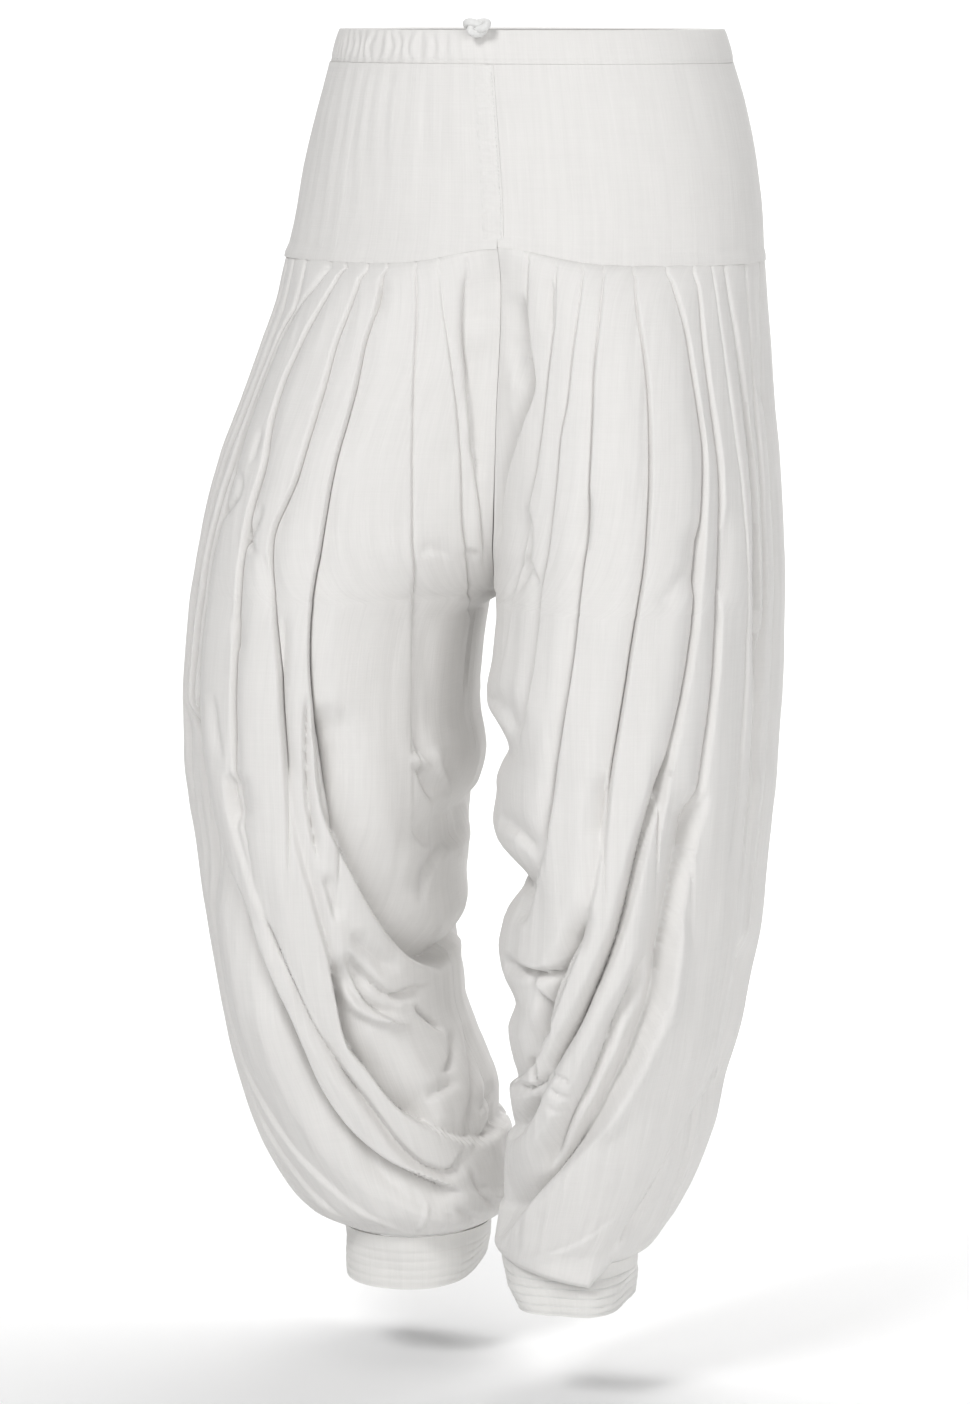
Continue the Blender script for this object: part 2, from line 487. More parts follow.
# Folds of the front, drawn as edges in the picture of 970 by 1404 points. The cloth lies deepest along the
# path and comes back over the wide reach on the shaded side and over the crisp reach on the other. The
# shaded side is 1 for the viewer's right of a path that runs down the picture, and -1 for the left.
# A negative depth is a ridge. Depths in millimetres, reaches in picture points.
# Columns: path, shaded, depth, wide, crisp
FOLDS = {
    "right": [
        # At its centre front
        (((466, 272), (464, 305), (463, 340), (467, 372), (471, 410), (477, 450), (486, 490), (494, 530)),
          1, 2.6, 26, 6),
        (((474, 322), (482, 360), (480, 400), (484, 440), (494, 478)), -1, 2.5, 12, 5),
        (((484, 270), (478, 300), (486, 335), (484, 372)), 1, 2.0, 10, 5),
        (((468, 430), (478, 468), (489, 500), (497, 520)), 1, 3, 8, 5),
        (((463, 560), (470, 552), (482, 556)), -1, 2, 10, 5),
        # Its thigh
        (((376, 268), (381, 290), (372, 318)), 1, 1.5, 14, 5),
        (((414, 560), (413, 620), (414, 690), (413, 745), (415, 800), (419, 850)), 1, 0.9, 20, 4),
        (((418, 560), (432, 548), (450, 562)), 1, 1.2, 16, 8),
        (((424, 612), (426, 660), (430, 700), (428, 740)), 1, 1.0, 12, 6),
        (((262, 425), (256, 444), (250, 466)), 1, 1.6, 6, 4),
        (((234, 466), (240, 478), (238, 492), (228, 508), (218, 524)), 1, 2.2, 6, 4),
        (((262, 498), (256, 522), (248, 540), (254, 552), (262, 556)), 1, 2.6, 6, 4),
        (((262, 548), (270, 590), (274, 622)), -1, 1.6, 14, 6),
        (((284, 608), (283, 650), (282, 700), (285, 745), (291, 790)), 1, 2.4, 12, 5),
        (((307, 690), (305, 740), (306, 790), (312, 830), (321, 871)), 1, 4, 12, 4),
        (((318, 740), (320, 772), (324, 800)), 1, 3, 26, 5),
        (((236, 612), (234, 632), (238, 655)), 1, 2.2, 12, 5),
        (((212, 690), (216, 730), (222, 762)), -1, 2, 12, 5),
        (((226, 770), (229, 800), (236, 830)), 1, 5, 34, 5),
        (((345, 700), (348, 745), (342, 790)), -1, 1.6, 14, 8),
        # The creases at its inner edge
        (((412, 752), (420, 764), (431, 770)), 1, -2.0, 9, 8),
        (((414, 762), (422, 776), (430, 800)), 1, 2.6, 28, 6),
        (((430, 742), (440, 765), (450, 785), (458, 800)), 1, -2.4, 10, 8),
        (((434, 748), (446, 775), (460, 802), (470, 815)), 1, 3.8, 26, 6),
        (((415, 822), (425, 842), (440, 848)), 1, 2, 20, 6),
        (((490, 824), (474, 830), (460, 839), (447, 848), (436, 862), (427, 880), (420, 908)),
          -1, 4.5, 26, 5),
        # Its upper swag
        (((313, 700), (318, 750), (324, 803), (337, 838), (350, 862), (364, 888), (388, 927), (402, 945),
          (419, 958), (438, 964), (462, 950)), 1, 9, 55, 5),
        (((322, 872), (332, 900), (338, 926)), 1, 3.5, 18, 6),
        (((350, 930), (364, 946), (384, 962), (402, 972)), -1, 3.5, 16, 16),
        # The two flaps below it and the small stitched crease
        (((344, 946), (360, 968), (376, 983), (394, 995), (412, 989), (436, 980)), -1, 5, 14, 4),
        (((346, 955), (357, 975), (365, 993), (376, 1008), (392, 1018), (412, 1023)), 1, 5.5, 20, 4),
        (((414, 1002), (421, 1013), (433, 1022), (447, 1032)), 1, 4.5, 5, 4),
        (((336, 972), (346, 994), (357, 1008), (372, 1017), (392, 1022), (414, 1024)), 1, -4.5, 11, 9),
        (((448, 1026), (453, 1048), (449, 1068), (436, 1072)), 1, 3, 10, 5),
        # Its tongue, with the deep hollow above it and the shade below
        (((330, 955), (337, 985), (343, 1015), (351, 1045), (358, 1055), (370, 1068), (388, 1092),
          (402, 1107), (420, 1119), (440, 1127)), 1, 12, 44, 5),
        (((428, 1100), (446, 1088), (462, 1080)), 1, 3, 16, 8),
        (((256, 905), (270, 935), (283, 965), (297, 995), (312, 1025), (328, 1050), (345, 1075),
          (362, 1096), (380, 1120), (397, 1142), (412, 1157), (432, 1169), (448, 1172), (461, 1160),
          (466, 1142)), -1, 4.5, 15, 5),
        (((194, 700), (197, 752), (205, 800), (212, 832), (224, 870), (240, 905), (252, 945), (268, 985),
          (285, 1020), (300, 1055), (313, 1085), (328, 1110), (345, 1132), (364, 1150), (390, 1168),
          (424, 1182), (470, 1196)), -1, 12, 34, 6),
        # Its inner ankle
        (((461, 1012), (470, 1048), (474, 1088), (468, 1125), (464, 1150)), 1, 2.4, 16, 7),
        (((476, 1040), (487, 1078), (494, 1110), (480, 1140), (466, 1162)), 1, 2.2, 16, 7),
        (((502, 1080), (490, 1098), (480, 1116)), -1, 2, 12, 6),
        (((470, 1165), (480, 1190), (500, 1212)), 1, 2.4, 10, 6),
        (((452, 1205), (468, 1218), (486, 1226)), 1, 2.0, 10, 6),
        (((430, 1204), (424, 1220), (418, 1234)), 1, -1.8, 5, 5),
        (((318, 1226), (345, 1227), (372, 1231), (400, 1236)), -1, 3, 9, 12),
    ],
    "left": [
        # At its centre front
        (((522, 290), (523, 310), (526, 345), (531, 384), (526, 404), (515, 430), (507, 455), (502, 480),
          (498, 515), (499, 548)), -1, 7, 26, 5),
        (((514, 330), (517, 360), (523, 392)), -1, 3, 10, 4),
        (((553, 275), (551, 310), (552, 336)), -1, 2.2, 16, 5),
        (((525, 500), (528, 535), (524, 570), (515, 600)), -1, 3.0, 24, 6),
        (((522, 552), (531, 570), (540, 588)), -1, 2.4, 22, 4),
        (((590, 485), (589, 520), (585, 560)), -1, 1.6, 24, 6),
        # Its thigh
        (((620, 530), (618, 560), (612, 596)), -1, 1.2, 24, 12),
        (((704, 520), (701, 560), (699, 600)), -1, 3.0, 30, 5),
        (((690, 560), (672, 592), (650, 606)), 1, 1.4, 20, 14),
        (((725, 500), (724, 560), (722, 620)), 1, 2.0, 16, 5),
        (((754, 336), (758, 370), (763, 415)), 1, 2.0, 8, 4),
        (((763, 620), (764, 690), (762, 745), (759, 790)), -1, 4, 14, 5),
        # The dark undersides of the inner loops
        (((486, 690), (498, 704), (508, 722), (516, 738)), 1, 4, 26, 6),
        (((494, 812), (510, 826), (526, 842), (540, 858)), 1, 4, 22, 6),
        (((534, 880), (524, 900), (520, 925)), -1, 5, 14, 5),
        (((606, 770), (602, 810), (598, 850)), -1, 4, 30, 6),
        (((592, 905), (586, 935), (577, 958)), -1, 2, 40, 8),
        (((684, 700), (671, 748), (660, 780)), 1, 2.4, 10, 5),
        (((500, 952), (515, 966), (532, 973), (550, 972), (566, 958)), -1, 9, 15, 5),
        (((522, 972), (534, 996), (546, 1026), (546, 1040)), -1, 9, 22, 5),
        # The long flaps of its lower leg
        (((672, 755), (655, 810), (641, 857), (629, 905), (618, 940), (605, 970), (590, 1000), (577, 1026),
          (562, 1050), (550, 1070), (538, 1088)), -1, 8, 15, 4),
        (((588, 915), (574, 945), (562, 968), (553, 990), (546, 1016), (538, 1042), (531, 1066)),
          -1, 9, 22, 5),
        (((655, 950), (638, 985), (616, 1022), (600, 1057), (583, 1090), (564, 1120), (547, 1150),
          (531, 1180)), 1, 9, 15, 17),
        (((709, 790), (697, 825), (688, 860), (680, 900), (672, 935), (667, 960), (665, 990), (657, 1015),
          (647, 1038), (635, 1065), (620, 1090), (602, 1120), (586, 1140), (566, 1160), (548, 1176),
          (528, 1197), (508, 1222), (496, 1240)), -1, 11, 42, 6),
        (((676, 905), (680, 940), (676, 980), (668, 1018), (652, 1052), (634, 1088), (612, 1122),
          (590, 1150)), 1, -2.5, 14, 12),
        (((742, 930), (738, 975), (732, 1010), (726, 1045), (722, 1075), (706, 1100), (690, 1125),
          (672, 1155), (655, 1190), (635, 1220), (617, 1250)), 1, 6, 30, 5),
        # Its small loops near the ankle
        (((529, 1056), (533, 1070), (531, 1084)), -1, 6, 8, 4),
        (((510, 1078), (522, 1088), (537, 1084), (545, 1070)), -1, 5, 10, 5),
        (((490, 1126), (503, 1138), (518, 1132), (531, 1112), (542, 1090)), 1, 7, 16, 5),
        (((550, 1072), (560, 1080), (572, 1084)), 1, 1.6, 6, 5),
        (((546, 1086), (556, 1096), (570, 1100)), 1, 1.6, 6, 5),
        (((544, 1104), (552, 1112), (564, 1116)), 1, 1.2, 6, 5),
    ],
}

# The pleats of the front as they hang, as paths in the picture of 970 by 1404 points. A pleat ends on the
# inner seam at its end run, or at the cuff where its end is a fraction round it. Depths in millimetres.
# Columns: path, end run, end, and the depths at the top, in the middle and at the end
FRONT_PLEATS = {
    "right": [
        ([(468, 266), (464, 292), (463, 328), (467, 368), (471, 427), (476, 474), (481, 510), (484, 550)],
         428, 0, 2.0, 5, 1),
        ([(440, 267), (443, 309), (447, 333), (454, 382), (458, 415), (462, 474), (463, 521), (467, 554),
          (470, 600), (472, 650)], 525, 0, 1.5, 3.5, 4),
        ([(417, 266), (416, 333), (414, 382), (413, 462), (413, 545), (416, 570), (416, 623), (414, 690),
          (414, 740), (422, 775), (438, 806)], 608, 0, 2.0, 3.2, 4),
        ([(389, 266), (383, 276), (378, 302), (369, 326), (362, 349), (355, 387), (345, 425), (338, 451),
          (331, 481), (324, 524), (319, 557), (312, 599), (310, 650), (312, 692), (316, 729), (320, 756),
          (324, 795), (332, 822), (349, 853), (367, 892), (386, 922), (402, 942), (420, 955), (438, 961)],
         708, 0, 2.5, 5.5, 12),
        ([(369, 266), (362, 278), (345, 316), (331, 354), (322, 389), (310, 427), (298, 470), (291, 490),
          (281, 509), (272, 527), (268, 548), (270, 578), (274, 620), (279, 680), (284, 740), (289, 785),
          (295, 827), (302, 857), (311, 884), (319, 915), (327, 942), (334, 971), (341, 999), (348, 1027),
          (355, 1049), (370, 1068), (388, 1093), (414, 1118), (440, 1129)], 852, 0, 2.5, 5.5, 8),
        ([(346, 268), (333, 285), (312, 318), (293, 356), (281, 382), (274, 405), (268, 425), (265, 455),
          (258, 481), (253, 495), (248, 510), (244, 533), (238, 569), (235, 620), (232, 669), (230, 738),
          (227, 765), (226, 795), (231, 820), (238, 849), (244, 869), (251, 892), (260, 915), (271, 940),
          (289, 971), (313, 1018), (336, 1058), (355, 1091), (379, 1124), (398, 1150), (417, 1165),
          (440, 1175)], 905, 0, 2.5, 5.5, 3),
        ([(331, 268), (322, 278), (298, 304), (279, 337), (260, 382), (246, 418), (238, 444), (231, 472),
          (221, 507), (212, 540), (205, 576), (199, 620), (195, 657), (194, 692), (194, 730), (197, 761),
          (204, 802), (214, 841), (225, 876), (237, 908), (248, 940), (261, 971), (277, 1011), (296, 1051),
          (315, 1093), (334, 1122), (353, 1148), (379, 1180), (410, 1203), (440, 1216)],
         972, 0, 2.5, 5.5, 1.5),
        (None, 972, 0.40, 2.0, 6, 1.5),
        (None, 972, 0.70, 2.0, 5, 1.5),
        (None, 972, 0.92, 1.5, 4, 1.5),
    ],
    "left": [
        ([(527, 264), (526, 290), (525, 321), (527, 356), (528, 392), (520, 427), (511, 458), (504, 486),
          (500, 517), (498, 545)], 428, 0, 2.0, 8, 2),
        ([(555, 272), (554, 309), (551, 340), (546, 380), (541, 427), (534, 474), (525, 517), (520, 552),
          (513, 585), (509, 618), (505, 645)], 490, 0, 1.5, 5, 4),
        ([(582, 275), (578, 309), (571, 356), (567, 396), (559, 439), (556, 474), (551, 517), (546, 557),
          (539, 592), (537, 620), (533, 657), (528, 690)], 526, 0, 1.5, 4, 10),
        ([(603, 275), (599, 321), (593, 373), (591, 427), (588, 481), (586, 533), (581, 576), (577, 610),
          (572, 653), (565, 699), (559, 742), (552, 790), (547, 820)], 614, 0, 1.5, 4.5, 12),
        ([(633, 273), (636, 302), (643, 344), (649, 392), (651, 439), (651, 474), (649, 521), (646, 562),
          (639, 605), (632, 646), (625, 692), (618, 738), (610, 784), (603, 830), (596, 871), (588, 910),
          (578, 945), (568, 970), (557, 1000), (548, 1022)], 790, 0, 2.0, 5.5, 9),
        ([(666, 270), (676, 293), (688, 333), (696, 380), (703, 420), (707, 451), (707, 486), (704, 533),
          (700, 580), (698, 620), (693, 657), (685, 703), (675, 745), (664, 786), (654, 814), (646, 841),
          (638, 870), (629, 905), (618, 938), (605, 971), (592, 999), (577, 1027), (560, 1055), (547, 1078)],
         830, 0, 2.5, 7, 6),
        ([(693, 270), (700, 293), (705, 344), (712, 392), (719, 439), (723, 474), (724, 510), (723, 569),
          (721, 620), (719, 657), (714, 715), (709, 756), (705, 784), (697, 818), (689, 853), (682, 887),
          (675, 922), (670, 955), (664, 991), (654, 1019), (638, 1052), (622, 1083), (605, 1108),
          (590, 1131), (577, 1149), (562, 1164), (546, 1180)], 890, 0, 2.0, 6.5, 3),
        (None, 962, 0, 1.0, 2, 1),
        ([(725, 270), (730, 297), (737, 333), (744, 380), (750, 420), (755, 462), (758, 498), (759, 521),
          (760, 580), (761, 646), (761, 692), (761, 738), (760, 784), (758, 818), (756, 860), (753, 900),
          (748, 950), (741, 990), (735, 1017), (727, 1060), (718, 1082), (705, 1103), (689, 1129),
          (676, 1152), (664, 1172), (648, 1195), (633, 1221), (622, 1238)], 962, 0.70, 2.0, 8, 3),
        (None, 962, 0.87, 1.5, 5, 2),
    ],
}

# Loops of cloth along each inner edge, as dips and, where the depth is negative, bulges: run, depth, reach
INNER_EDGE = {
    "right": [(558, -5, 36), (608, 11, 24), (684, -6, 32)],
    "left": [(498, -3, 28), (533, 13, 30), (594, -5, 30), (634, 18, 32), (686, -5, 30), (726, 9, 24)],
}
EDGE_START = {"right": 0.76, "left": 0.56}  # share of the panel at which they begin
EDGE_FULL = 0.95  # and at which they are as deep as stated


def edge_relief(leg, run, share):
    """How deep the loops of a leg's inner edge lie."""
    total = 0 * run
    for centre, depth, reach in INNER_EDGE[leg]:
        total = total + depth * ease(1 - np.abs(run - centre) / reach)
    return total * rising(share, EDGE_START[leg], EDGE_FULL - EDGE_START[leg])


def noise(x, y, seed):
    """Smooth uneven values between -1 and 1 on cells of size 1, which come again after 64 cells.

    Below, x and y are divided by the length of a cell, and the number in front is a height in millimetres.
    """
    size = 64
    table = np.random.default_rng(seed).uniform(-1, 1, (size, size))
    xi, yi = np.floor(x).astype(int), np.floor(y).astype(int)
    fx, fy = ease(x - xi), ease(y - yi)
    a, b = table[xi % size, yi % size], table[(xi + 1) % size, yi % size]
    c, d = table[xi % size, (yi + 1) % size], table[(xi + 1) % size, (yi + 1) % size]
    return (a * (1 - fx) + b * fx) * (1 - fy) + (c * (1 - fx) + d * fx) * fy


def picture(points):
    """Where points in millimetres show in the picture."""
    right = np.array([math.cos(TURN), math.sin(TURN), 0])
    up = np.cross(VIEW_BACK, right)
    away = points * MILLIMETRE - (np.array(LOOK_AT) + DISTANCE * VIEW_BACK)
    scale = DISTANCE / (-(away @ VIEW_BACK)) / PIXEL
    return WIDTH / 2 + (away @ right) * scale, HEIGHT / 2 - (away @ up) * scale


def drawn_line(path, count=None):
    """Even points on a smooth line through the points of a path, with how far along it they are."""
    spot = np.array(path, float)
    gone = walked(np.hypot(*np.diff(spot, axis=0).T))
    at = np.linspace(0, gone[-1], count or max(4, int(gone[-1] / FOLD_STEP)))
    return at, curve(list(zip(gone, spot[:, 0])), at), curve(list(zip(gone, spot[:, 1])), at)


def front_paths(leg):
    """The front pleat lines of a leg as place, run and angle, read back from the picture."""
    run = np.linspace(YOKE_SEAM, LEG_END[leg], LOOK_ROWS)[:, None] + np.zeros((1, LOOK_COLUMNS))
    share = np.linspace(0, 1, LOOK_COLUMNS)[None, :] + 0 * run
    px, py = picture(leg_point(leg, "front", run, share, 0 * run))
    step_run, step_share = run[1, 0] - run[0, 0], share[0, 1]
    xr, xs = np.gradient(px, axis=0) / step_run, np.gradient(px, axis=1) / step_share
    yr, ys = np.gradient(py, axis=0) / step_run, np.gradient(py, axis=1) / step_share
    facing = (xs * yr - xr * ys) * (1 if leg == "right" else -1) > LEAST_FACING

    def on_cloth(a, b):
        """Run and angle of the cloth that shows at a point of the picture."""
        away = np.where(facing, (px - a) ** 2 + (py - b) ** 2, HUGE)
        i, j = np.unravel_index(away.argmin(), away.shape)
        det = xs[i, j] * yr[i, j] - xr[i, j] * ys[i, j]
        dx, dy = a - px[i, j], b - py[i, j]
        there = run[i, j] + np.clip((xs[i, j] * dy - ys[i, j] * dx) / det, -RUN_CELL, RUN_CELL)
        place = share[i, j] + np.clip((yr[i, j] * dx - xr[i, j] * dy) / det, -SHARE_CELL, SHARE_CELL)
        return there, place * medial_angle(leg, there)

    def straight_above(a, below):
        """Runs and angles from the yoke down to a run, straight above a point of the picture."""
        rows = np.flatnonzero(run[:, 0] < below - 1)
        angles = []
        for i in rows:
            j = np.abs(px[i] - a).argmin()
            place = share[i, j] + np.clip((a - px[i, j]) / xs[i, j], -SHARE_CELL, SHARE_CELL)
            angles.append(place * medial_angle(leg, run[i, 0]))
        return list(run[rows, 0]), angles

    def onward(runs, angles, last_run, last_angle):
        """The rest of a line, which leaves in the direction it came and bends to its end."""
        more = np.linspace(0, 1, END_POINTS + 1)[1:]

        def bent(first, via, last):
            return (1 - more) ** 2 * first + 2 * more * (1 - more) * via + more**2 * last

        ahead_run = runs[-1] - runs[-BACK_POINTS]
        ahead_angle = angles[-1] - angles[-BACK_POINTS]
        far = np.hypot((last_run - runs[-1]) / RUN_A_RADIAN, last_angle - angles[-1])
        near = max(np.hypot(ahead_run / RUN_A_RADIAN, ahead_angle), 1e-6)
        via_run = runs[-1] + ahead_run / near * far * LEAVING
        via_angle = angles[-1] + ahead_angle / near * far * LEAVING
        return bent(runs[-1], via_run, last_run), bent(angles[-1], via_angle, last_angle)

    found = []
    for path, end_run, end, _, _, _ in FRONT_PLEATS[leg]:
        if path is None:
            found.append(None)
            continue
        _, x, y = drawn_line(path, PATH_POINTS)
        runs, angles = zip(*[on_cloth(a, b) for a, b in zip(x, y)])
        above, above_angles = straight_above(x[0], runs[0])
        runs, angles = np.array(above + list(runs)), np.array(above_angles + list(angles))
        runs[0] = YOKE_SEAM
        if end == 0:
            last_run, last_angle = end_run, float(medial_angle(leg, end_run))
        else:
            last_run = LEG_END[leg]
            last_angle = float(angle_across(leg, "front", last_run, end))
        tail_run, tail_angle = onward(runs, angles, last_run, last_angle)
        runs, angles = np.concatenate([runs, tail_run]), np.concatenate([angles, tail_angle])
        for values in (runs, angles):
            values[3:-3] = np.convolve(values, EVENING, "valid")
        runs = np.clip(runs, YOKE_SEAM, LEG_END[leg])
        angles = np.clip(angles, 0, medial_angle(leg, runs))
        line = leg_point(leg, "front", runs, angles / medial_angle(leg, runs), 0 * runs)
        length = walked(np.linalg.norm(np.diff(line, axis=0), axis=1))
        found.append((length / length[-1], runs, angles))
    return found


FRONT_FOUND = {}  # the front lines of each leg, once they are found


def laid_path(leg, face, number, v):
    """Like line_path, with the front pleats where the picture has them."""
    if face == "back" or number in (0, PLEATS):
        return line_path(leg, face, number, v)
    if leg not in FRONT_FOUND:
        FRONT_FOUND[leg] = front_paths(leg)
    line = FRONT_FOUND[leg][number - 1]
    if line is None:
        return line_path(leg, face, number, v)
    return np.interp(v, line[0], line[1]), 0 * v, np.interp(v, line[0], line[2])


def fold_relief(px, py, leg):
    """How deep the drawn folds of a leg lie at each point of the picture."""
    total = np.zeros(px.shape)
    for path, shaded, depth, wide, crisp in FOLDS[leg]:
        at, xs, ys = drawn_line(path)
        room = max(wide, crisp) + 2
        near = (px > xs.min() - room) & (px < xs.max() + room)
        near &= (py > ys.min() - room) & (py < ys.max() + room)
        x, y = px[near], py[near]
        best, beside, along = np.full(x.shape, HUGE), np.zeros(x.shape), np.zeros(x.shape)
        for i in range(len(at) - 1):
            dx, dy = xs[i + 1] - xs[i], ys[i + 1] - ys[i]
            length = math.hypot(dx, dy)
            t = np.clip(((x - xs[i]) * dx + (y - ys[i]) * dy) / length**2, 0, 1)
            far = np.hypot(x - xs[i] - t * dx, y - ys[i] - t * dy)
            right = ((x - xs[i]) * dy - (y - ys[i]) * dx) / length
            closer = far < best - 1e-6
            best = np.where(closer, far, best)
            beside = np.where(closer, np.sign(right) * far, beside)
            along = np.where(closer, at[i] + t * (at[i + 1] - at[i]), along)
        reach = np.where(beside * shaded > 0, wide, crisp)
        shape = np.clip(1 - np.abs(beside) / reach, 0, 1)
        shape = shape**1.7 if depth > 0 else ease(shape)
        taper = min(TAPER, TAPER_SHARE * at[-1])
        total[near] += depth * shape * rising(along, 0, taper) * ending(along, at[-1], taper)
    scaled = FOLD_SCALE * total
    return np.where(total > 0, DEEPEST_FOLD * np.tanh(scaled / DEEPEST_FOLD), scaled)


def soften(values, passes):
    """Values of a grid, evened out with their neighbours."""
    for _ in range(passes):
        wide = np.pad(values, 1, mode="edge")
        values = (wide[:-2, 1:-1] + wide[2:, 1:-1] + wide[1:-1, :-2] + wide[1:-1, 2:] + 2 * values) / 6
    return values


def deepest_near(values, cells):
    """The greatest value within some cells of each point of a grid."""
    rows, columns = values.shape
    for _ in range(cells):
        wide = np.pad(values, 1, mode="edge")
        values = np.maximum.reduce([wide[i : i + rows, j : j + columns] for i in range(3) for j in range(3)])
    return values


def put(name, data):
    """A new object in the scene."""
    piece = bpy.data.objects.new(name, data)
    bpy.context.scene.collection.objects.link(piece)
    return piece


def lay_weave(mesh, places):
    """Keep the weave's own coordinates, in metres, on a mesh's points."""
    weave = mesh.attributes.new("weave", "FLOAT_VECTOR", "POINT")
    weave.data.foreach_set("vector", np.ravel(places))


def thread_places(across, down):
    """The weave's coordinates on a grid, across and along the cloth."""
    return np.stack(np.broadcast_arrays(across, down, 0.0), -1)


def lining(outer, ring, thick):
    """The inner side of a wall of even thickness, behind every second row and column of its outer side."""
    across = np.roll(outer, -1, 1) - np.roll(outer, 1, 1) if ring else np.gradient(outer, axis=1)
    return (outer - unit(np.cross(across, np.gradient(outer, axis=0))) * thick)[::2, ::2]


def shell(name, outer, inner, thread, ring=False):
    """A thin closed wall between two grids of points, with the weave's own coordinates kept on it.

    The inner side has every second row and column, so the outer grid has an odd number of rows and, unless
    it is a ring, of columns.
    """
    rows, cols, _ = outer.shape
    half = rows * cols
    sides = np.concatenate([outer.reshape(-1, 3), inner.reshape(-1, 3)]) * MILLIMETRE
    grid = np.arange(half).reshape(rows, cols)
    under = half + np.arange(inner.shape[0] * inner.shape[1]).reshape(inner.shape[:2])
    if ring:
        grid, under = np.concatenate([grid, grid[:, :1]], 1), np.concatenate([under, under[:, :1]], 1)

    def cells(points):
        corners = (points[:-1, :-1], points[1:, :-1], points[1:, 1:], points[:-1, 1:])
        return np.stack(corners, -1).reshape(-1, 4)

    quads = np.concatenate([cells(grid), cells(under)[:, ::-1]])
    rims = []
    edges = [(grid[0], under[0], False), (grid[-1], under[-1], True)]
    if not ring:
        edges += [(grid[:, 0], under[:, 0], True), (grid[:, -1], under[:, -1], False)]
    for top, low, flip in edges:
        rim = np.concatenate([
            np.stack([top[:-2:2], top[1:-1:2], low[:-1]], -1),
            np.stack([top[1:-1:2], low[1:], low[:-1]], -1),
            np.stack([top[1:-1:2], top[2::2], low[1:]], -1),
        ])
        rims.append(rim[:, ::-1] if flip else rim)
    tris = np.concatenate(rims)
    volume = 0.0
    for corners in (sides[quads[:, [0, 1, 2]]], sides[quads[:, [0, 2, 3]]], sides[tris]):
        volume += np.einsum("ij,ij->i", corners[:, 0], np.cross(corners[:, 1], corners[:, 2])).sum()
    if volume < 0:
        quads, tris = quads[:, ::-1], tris[:, ::-1]
    mesh = bpy.data.meshes.new(name)
    mesh.vertices.add(len(sides))
    mesh.vertices.foreach_set("co", sides.ravel())
    mesh.loops.add(quads.size + tris.size)
    mesh.loops.foreach_set("vertex_index", np.concatenate([quads.ravel(), tris.ravel()]).astype(np.int32))
    mesh.polygons.add(len(quads) + len(tris))
    starts = np.concatenate([np.arange(len(quads)) * 4, quads.size + np.arange(len(tris)) * 3])
    mesh.polygons.foreach_set("loop_start", starts.astype(np.int32))
    mesh.update(calc_edges=True)
    mesh.validate()
    both = np.concatenate([thread.reshape(-1, 3), thread[::2, ::2].reshape(-1, 3)])
    lay_weave(mesh, both * MILLIMETRE)
    mesh.shade_smooth()
    mesh.set_sharp_from_angle(angle=math.radians(SHARP_ANGLE))
    return put(name, mesh)


def laid_depth(leg, face, number, v):
    """How deep the cloth lies beside a pleat's flap edge, or along the panel's own edges."""
    if number == 0:
        return np.zeros_like(v)
    if number == PLEATS:
        return curve([(0, 1), (0.08, 3), (0.4, SIDE_DEPTH), (0.9, SIDE_DEPTH), (1, 1.5)], v)
    _, _, _, top, middle, end = FRONT_PLEATS[leg][number - 1]
    if face == "back":
        middle = BACK_LINES[leg][number - 1][7]
        top = 0.3 * middle
    return curve([(0, 0.9), (0.04, top), (0.35, middle), (0.75, 0.5 * (middle + end) + 1), (1, end)], v)


def spread_evenly(values, places, rows, columns):
    """Scattered values averaged on an even grid, with empty cells filled from their neighbours."""
    i, j = places
    i0, j0 = np.minimum(i.astype(int), rows - 2), np.minimum(j.astype(int), columns - 2)
    weight, total = np.zeros(rows * columns), np.zeros(rows * columns)
    for di, dj in ((0, 0), (0, 1), (1, 0), (1, 1)):
        near = (1 - np.abs(i - i0 - di)) * (1 - np.abs(j - j0 - dj))
        cell = ((i0 + di) * columns + j0 + dj).ravel()
        weight += np.bincount(cell, near.ravel(), rows * columns)
        total += np.bincount(cell, (near * values).ravel(), rows * columns)
    weight, total = weight.reshape(rows, columns), total.reshape(rows, columns)
    for _ in range(FILL_ROUNDS):
        empty = weight < 1e-3
        weight, total = np.where(empty, soften(weight, 1), weight), np.where(empty, soften(total, 1), total)
    return total / np.maximum(weight, 1e-9)


